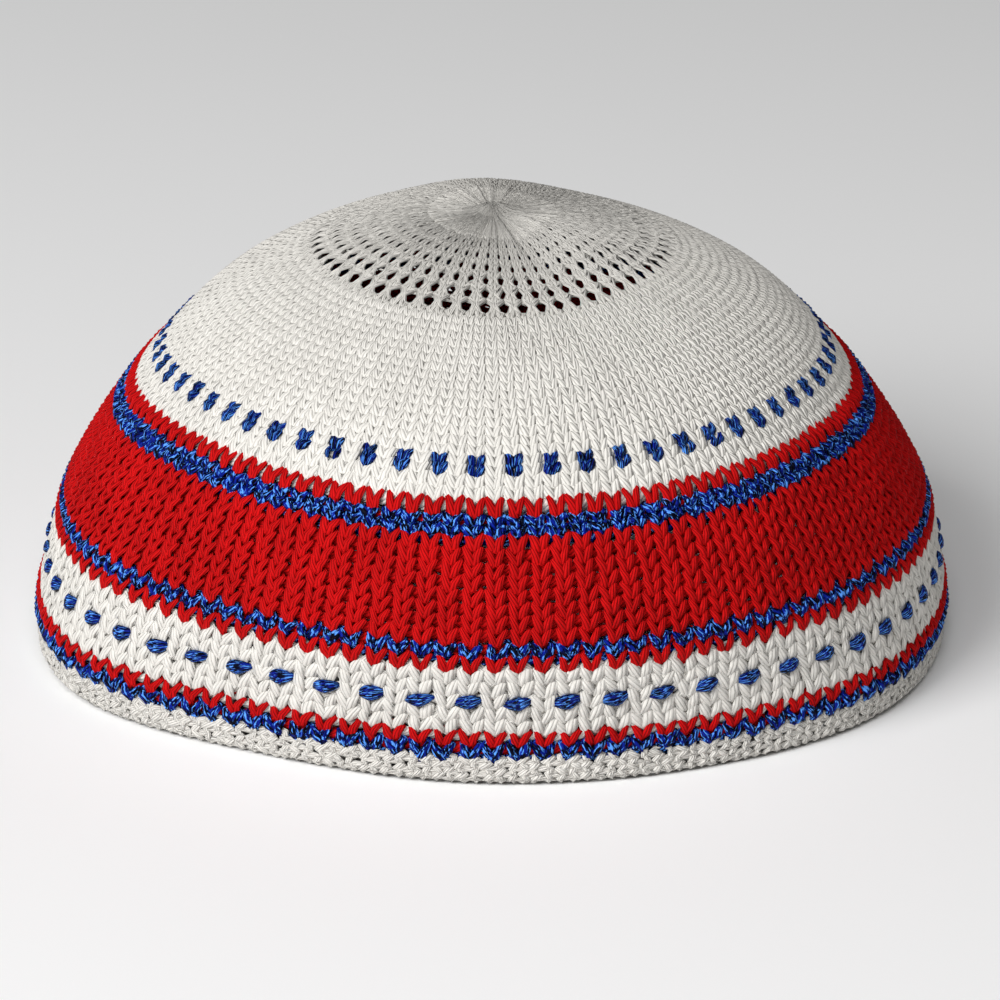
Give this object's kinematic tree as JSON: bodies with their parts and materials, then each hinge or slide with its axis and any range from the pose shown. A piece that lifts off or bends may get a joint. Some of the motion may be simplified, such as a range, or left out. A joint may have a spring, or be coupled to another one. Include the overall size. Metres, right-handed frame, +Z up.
{
  "type": "kufi cap",
  "caption": "Round brimless knitted kufi cap with striped yarn bands, a pierced ring in the crown and a gathered top.",
  "frame": {"origin": "bottom centre of the bounding box, on the surface that the hem stands on", "axes": "+Z up from the hem to the gathered top, -Y to the front of the picture, +X to its right"},
  "size_m": [0.1846, 0.1824, 0.089],
  "materials": {
    "white_yarn": "soft matt knitted yarn",
    "red_yarn": "matt to satin knitted yarn",
    "blue_yarn": "glossy knitted yarn"
  },
  "bodies": {
    "root": {"hem": "white_yarn", "blue_stripe_low": "blue_yarn", "red_edge_low": "red_yarn", "white_band": "white_yarn", "red_edge_middle": "red_yarn", "blue_stripe_middle": "blue_yarn", "red_band": "red_yarn", "blue_stripe_top": "blue_yarn", "red_edge_top": "red_yarn", "crown": "white_yarn"}
  },
  "joints": []
}
